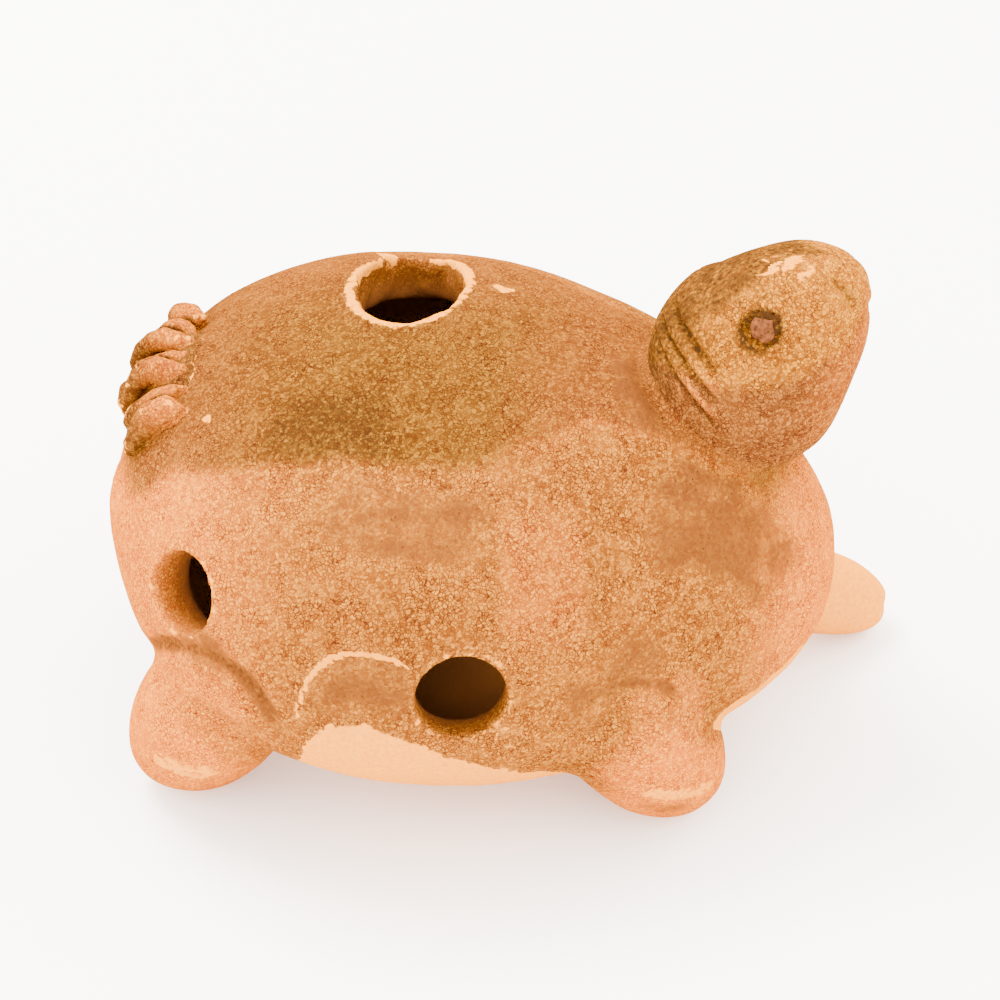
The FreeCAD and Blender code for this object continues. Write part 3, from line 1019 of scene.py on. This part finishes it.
def shade(colour):
    return (*colour, 1.0)


def coat(tree, colours, clouds, cells, lines):
    """One glaze: clouds of two tones, lighter cells and dark crack lines between them."""
    deep, light, cell, line = (shade(c) for c in colours)
    colour = mix(tree, clouds, deep, light)
    colour = mix(tree, cells, colour, cell)
    return mix(tree, lines, colour, line)


def clay_colour(tree, grain, tones):
    return mix(tree, ramp(tree, grain, 0.3, 0.7), shade(tones[0]), shade(tones[1]))


def bumped(tree, shader, height, strength, depth):
    """Relief too fine for the mesh, and no gloss."""
    bump = add_node(tree, "ShaderNodeBump", {"Height": height, "Strength": strength, "Distance": depth})
    tree.links.new(bump.outputs[0], shader.inputs["Normal"])
    shader.inputs["Specular IOR Level"].default_value = 0.0


def glaze(name, flank, back, thin, slip):
    """Crackle glaze with its wear: colours of flanks, back, the back where it is thin, and slip. The thin
    colour also paints highlights on the head's wrinkle ridges, and the slip colour also paints shade into
    creases and hollows.
    """
    material = bpy.data.materials.new(name)
    material.use_nodes = True
    tree = material.node_tree
    shader = tree.nodes["Principled BSDF"]
    place = add_node(tree, "ShaderNodeTexCoord").outputs["Object"]
    wobble = add_node(tree, "ShaderNodeTexNoise", {"Vector": place, "Scale": WOBBLE, "Detail": 2.0})
    shift = {0: wobble.outputs["Color"], "Scale": WOBBLE_REACH}
    moved = add_node(tree, "ShaderNodeVectorMath", shift, operation="SCALE").outputs[0]
    bent = add_node(tree, "ShaderNodeVectorMath", {0: place, 1: moved}, operation="ADD").outputs[0]
    cracks = cell_node(tree, bent, CRACKLE, "Distance", feature="DISTANCE_TO_EDGE")
    cells = ramp(tree, cell_node(tree, bent, CRACKLE, "Color"), 0.2, 0.9, 0.0, 0.9)
    dots = cell_node(tree, bent, PITS, "Distance")
    grain = noise_node(tree, place, GRAIN, 3.0)
    patches = noise_node(tree, place, PATCHES, 3.0)
    clouds = ramp(tree, noise_node(tree, place, CLOUDS, 4.0), 0.36, 0.64)
    open_cracks = ramp(tree, cracks, 0.02, 0.15, 1.0, 0.0)
    plain = ragged(tree, "smear_and_shade", patches, 0.25, 0.25, 0.75)
    lines = product(tree, open_cracks, ramp(tree, patches, 0.32, 0.6, 0.5, 1.0))
    lines = product(tree, lines, ramp(tree, plain, 0.0, 1.0, 1.0, 0.3))
    # Paler glaze where the pale mask is high, and painted highlights on the wrinkle ridges.
    pale = mask(tree, "pale")
    coats = [coat(tree, colours, clouds, cells, lines) for colours in (flank, PALE_AND_HIGHLIGHT, back, thin)]
    pink = mix(tree, pale, coats[0], coats[1])
    amber = mix(tree, pale, coats[2], coats[3])
    # Smeared slip, and painted shade in creases and hollows, take the slip colour.
    slip_and_shade = ramp(tree, plain, 0.0, 1.0, 0.0, 0.8)
    pink = mix(tree, slip_and_shade, pink, shade(slip))
    amber = mix(tree, slip_and_shade, amber, shade(slip))
    colour = mix(tree, mask(tree, "amber"), pink, amber)
    pits = product(tree, ramp(tree, dots, 0.07, 0.18, 0.8, 0.0), ramp(tree, patches, 0.42, 0.6))
    colour = mix(tree, pits, colour, shade(PIT))
    # Stains in cracks and scars, and painted shade in grooves and between the tail's strands.
    colour = mix(tree, ragged(tree, "stain_and_shade", grain, 0.35, 0.1, 0.9), colour, shade(STAIN_AND_SHADE))
    worn = ragged(tree, "bare", noise_node(tree, place, CRUMBS, 4.0), 0.3, 0.42, 0.62)
    colour = mix(tree, worn, colour, clay_colour(tree, grain, CLAY))
    colour = mix(tree, mask(tree, "inside"), colour, shade(HOLLOW))
    tree.links.new(colour, shader.inputs["Base Color"])
    roughness = ramp(tree, worn, 0.0, 1.0, GLAZE_ROUGHNESS, CLAY_ROUGHNESS)
    tree.links.new(roughness, shader.inputs["Roughness"])
    bumped(tree, shader, add(tree, product(tree, open_cracks, -0.6), grain), 0.3, GLAZE_BUMP)
    return material


def unglazed(name, tones):
    """Bare fired clay with small dark specks."""
    material = bpy.data.materials.new(name)
    material.use_nodes = True
    tree = material.node_tree
    shader = tree.nodes["Principled BSDF"]
    place = add_node(tree, "ShaderNodeTexCoord").outputs["Object"]
    grain = noise_node(tree, place, CLAY_GRAIN, 4.0)
    specks = ramp(tree, cell_node(tree, place, CLAY_SPECKS, "Distance"), 0.2, 0.42, 0.7, 0.0)
    colour = mix(tree, specks, clay_colour(tree, grain, tones), shade(STAIN_AND_SHADE))
    tree.links.new(colour, shader.inputs["Base Color"])
    shader.inputs["Roughness"].default_value = CLAY_ROUGHNESS
    bumped(tree, shader, grain, 0.4, CLAY_BUMP)
    return material


# Strands, each (sideways start and end, low and high latitude, radius, lift).
TAIL_STRANDS = (
    (-3.1, -2.6, 35.0, 48.5, 1.25, 1.1),
    (-2.2, -1.6, 33.0, 47.5, 1.1, 1.3),
    (-1.2, -0.9, 31.0, 48.5, 1.2, 1.8),
    (-0.4, 0.2, 30.0, 48.0, 1.0, 1.3),
    (0.6, 1.0, 30.0, 48.5, 1.2, 1.6),
    (1.6, 2.1, 30.0, 47.5, 1.05, 1.0),
    (2.6, 3.2, 31.0, 47.0, 1.35, 1.0),
)
TAIL_SLOPE = 6.0

# A strand's path: its number of steps, its wave from side to side, and its arch by share of length.
STRAND_STEPS = 6
STRAND_WAVE = 0.14
STRAND_WAVES = 5.0
STRAND_PHASE = 3.0
ARCH_START = 0.15
ARCH_SPAN = 0.7

# A strand's thickness along it, and the roundings where it meets its neighbours and the pad.
STRAND_ALONG = (0.0, 0.12, 0.4, 0.75, 0.92, 1.0)
STRAND_THICKNESS = (0.4, 0.8, 0.95, 1.0, 0.75, 0.4)
STRAND_FILLET = 0.3
STRAND_SKIRT = 0.35
PAD_SWELL = 0.3
PAD_FILLET = 1.0

# Where the glaze thins towards a strand's tip, and where painted shade darkens a groove, in millimetres.
TIP_PALE = (5.0, 2.0)
STRAND_GROOVE_SHADE = (0.9, 0.1)
STRAND_GROOVE_SHADE_SHARE = 1.1


def egg_place(longitude, latitude, lift=0.0):
    """Point of the body's skin, in degrees, lifted outwards."""
    power = 2.0 / BODY_FULLNESS
    lon, lat = math.radians(longitude), math.radians(latitude)
    across = math.cos(lat) ** power
    rise = (math.sin(lat) ** power) * (BACK_RISE + lift)
    forward = across * math.cos(lon)
    side = across * math.sin(lon)
    return np.array(
        (
            BODY_CENTRE[0] + (BODY_HALF[0] + lift) * forward + BODY_LEAN * rise,
            (BODY_HALF[1] + lift) * side * (1.0 - BODY_TAPER * forward),
            BODY_CENTRE[2] + rise,
        )
    )


def strand_field(lattice, strand, wander):
    """Distance to one rolled strand, pinched at its ends, and the path along its middle."""
    low_side, high_side, low, high, radius, lift = strand
    path = []
    for step in range(STRAND_STEPS + 1):
        share = step / STRAND_STEPS
        wave = STRAND_WAVE * math.sin(STRAND_WAVES * share + STRAND_PHASE * low_side)
        side = low_side + (high_side - low_side) * share + wave
        raised = lift * math.sin(math.pi * (ARCH_START + ARCH_SPAN * share))
        path.append(egg_place(180.0 + TAIL_SLOPE * side, low + (high - low) * share, raised))
    gap, where = along_path(lattice.x, lattice.y, lattice.z, path)
    thick = radius * np.interp(where, STRAND_ALONG, STRAND_THICKNESS)
    return (gap - thick + wander).astype(np.float32), path


def colour_strand(obj, tip, lattice, others):
    """Thin the glaze at a strand's upper end, and paint shade into the grooves against its neighbours."""
    mesh = obj.data
    points = corners(mesh).astype(float) / METRE
    away = np.linalg.norm(points - tip, axis=1)
    gap = sample(others, lattice, points)
    groove_shade = STRAND_GROOVE_SHADE_SHARE * smooth_step(*STRAND_GROOVE_SHADE, gap)
    tones = {"pale": smooth_step(*TIP_PALE, away), "stain_and_shade": groove_shade}
    for name, values in tones.items():
        mesh.attributes[name].data.foreach_set("value", values.astype(np.float32))


def tail():
    """Rolled strands side by side on their pad, by node name."""
    names = ["tail_strand_%d" % (k + 1) for k in range(len(TAIL_STRANDS))]
    lattice = node_lattice(names + ["tail_pad"], TAIL_STEP)
    x, y, z = lattice.x, lattice.y, lattice.z
    body = apply_marks(egg_distance(x, y, z), lattice)
    wander = sum(rough(x, y, z, layer) for layer in STRAND_ROUGH)
    pad = smooth_min(node_field(lattice, "tail_pad") - PAD_SWELL, body, PAD_FILLET) + FEATHER
    pad = np.maximum(pad, -body - SUNK)
    fields, paths = zip(*[strand_field(lattice, strand, wander) for strand in TAIL_STRANDS])
    bed = smooth_min(pad, body, STRAND_FILLET)
    pieces = {}
    for k, name in enumerate(names):
        own = smooth_min(fields[k], bed, STRAND_FILLET) + FEATHER
        own = np.maximum(own, np.maximum(fields[k] - STRAND_SKIRT, -body - SUNK))
        pieces[name] = skinned(name + "_clay", own, lattice, "tail")
        others = np.minimum.reduce(fields[:k] + fields[k + 1 :])
        colour_strand(pieces[name], paths[k][-1], lattice, others)
    near = np.minimum.reduce(fields)
    pieces["tail_pad"] = skinned("tail_pad_clay", np.maximum(pad, near - SUNK), lattice, "tail")
    return pieces


LIMBS = (
    # nodes, slip roll, fillet
    (("head", "right_eye", "left_eye"), "neck_slip", 1.0),
    (("rear_right_foot",), "rear_right_foot_slip", 1.3),
    (("rear_left_foot",), "rear_left_foot_slip", 1.3),
    (("front_right_foot",), "front_right_foot_slip", 1.3),
    (("front_left_foot",), "front_left_foot_slip", 1.3),
)


def build():
    """Every piece, in place of the node it stands for."""
    body_coat = glaze("glazed_body", PINK, AMBER, BACK, SMEAR_AND_SHADE)
    belly_coat = glaze("belly_clay", PINK, AMBER, BACK, SMEAR_AND_SHADE)
    head_coat = glaze("glazed_head", HEAD_PINK, HEAD_AMBER, HEAD_THIN_AND_HIGHLIGHT, HEAD_SMEAR)
    tail_coat = glaze("glazed_tail", TAIL, AMBER, BACK, SMEAR_AND_SHADE)
    eye_coat = unglazed("eye_clay", EYE_CLAY)
    lattice = Lattice(*BODY_BLOCK, BODY_STEP)
    whole = skinned("body", body_field(lattice), lattice, "body")
    show(seam_half(whole, "back_shell_clay", True), "back_shell", body_coat)
    show(seam_half(whole, "belly_shell_clay", False), "belly_shell", belly_coat)
    bpy.data.objects.remove(whole)
    for nodes, slip, fillet in LIMBS:
        piece, roll = limb(nodes, slip, fillet)
        if nodes[0] == "head":
            show(piece, "head", head_coat)
        else:
            show(piece, nodes[0], body_coat)
        show(roll, slip, body_coat)
    for name, side in (("right_eye", -1.0), ("left_eye", 1.0)):
        show(eye(name, side), name, eye_coat)
    for name, piece in tail().items():
        show(piece, name, tail_coat)


# Camera: in front of the turtle's right side, looking down.
VIEW_TURN = 6.0
VIEW_RISE = 37.0
VIEW_DISTANCE = 350.0
VIEW_TARGET = Vector((-3.061, 0.0, 18.0))
PIXELS_PER_MM = 10.8
PICTURE = 1000.0
OFFSET = (26.0, 44.0)
SENSOR = 36.0
CLIP_END = 10.0


def camera():
    """Camera far off with a long lens, aimed a little beside the body's middle."""
    turn, rise = math.radians(VIEW_TURN), math.radians(VIEW_RISE)
    back = Vector((math.sin(turn) * math.cos(rise), -math.cos(turn) * math.cos(rise), math.sin(rise)))
    right = Vector((math.cos(turn), math.sin(turn), 0.0))
    up = back.cross(right)
    place = VIEW_TARGET + back * VIEW_DISTANCE
    aim = VIEW_TARGET + right * (OFFSET[0] / PIXELS_PER_MM) + up * (OFFSET[1] / PIXELS_PER_MM)
    data = bpy.data.cameras.new("camera")
    data.sensor_width = SENSOR
    data.lens = PIXELS_PER_MM * VIEW_DISTANCE * SENSOR / PICTURE
    data.clip_end = CLIP_END
    made = placed("camera", data)
    made.location = place * METRE
    made.rotation_euler = (place - aim).to_track_quat("Z", "Y").to_euler()
    bpy.context.scene.camera = made


# Studio: a white floor in a bright room, and a soft disk of light above, behind and to the left.
FLOOR_HALF = 3.0
FLOOR_COLOUR = (0.97, 0.955, 0.93)
FLOOR_ROUGHNESS = 0.9
ROOM_COLOUR = (1.0, 0.975, 0.925)
ROOM_STRENGTH = 8.2
KEY_PLACE = (-0.25, 0.15, 0.6)
KEY_SIZE = 0.35
KEY_POWER = 14.0


def light(name, place, size, power):
    """Disk of light that faces the object."""
    data = bpy.data.lights.new(name, "AREA")
    data.shape = "DISK"
    data.size = size
    data.energy = power
    made = placed(name, data)
    made.location = place
    made.rotation_euler = Vector(place).to_track_quat("Z", "Y").to_euler()


def stage():
    """Floor, room and light."""
    mesh = bpy.data.meshes.new("floor")
    half = FLOOR_HALF
    square = [(-half, -half, 0), (half, -half, 0), (half, half, 0), (-half, half, 0)]
    mesh.from_pydata(square, [], [(0, 1, 2, 3)])
    floor = placed("floor", mesh)
    material = bpy.data.materials.new("floor")
    material.use_nodes = True
    shader = material.node_tree.nodes["Principled BSDF"]
    shader.inputs["Base Color"].default_value = shade(FLOOR_COLOUR)
    shader.inputs["Roughness"].default_value = FLOOR_ROUGHNESS
    mesh.materials.append(material)
    world = bpy.data.worlds.new("studio")
    bpy.context.scene.world = world
    world.use_nodes = True
    background = world.node_tree.nodes["Background"]
    background.inputs["Color"].default_value = shade(ROOM_COLOUR)
    background.inputs["Strength"].default_value = ROOM_STRENGTH
    light("key", KEY_PLACE, KEY_SIZE, KEY_POWER)


build()
camera()
stage()
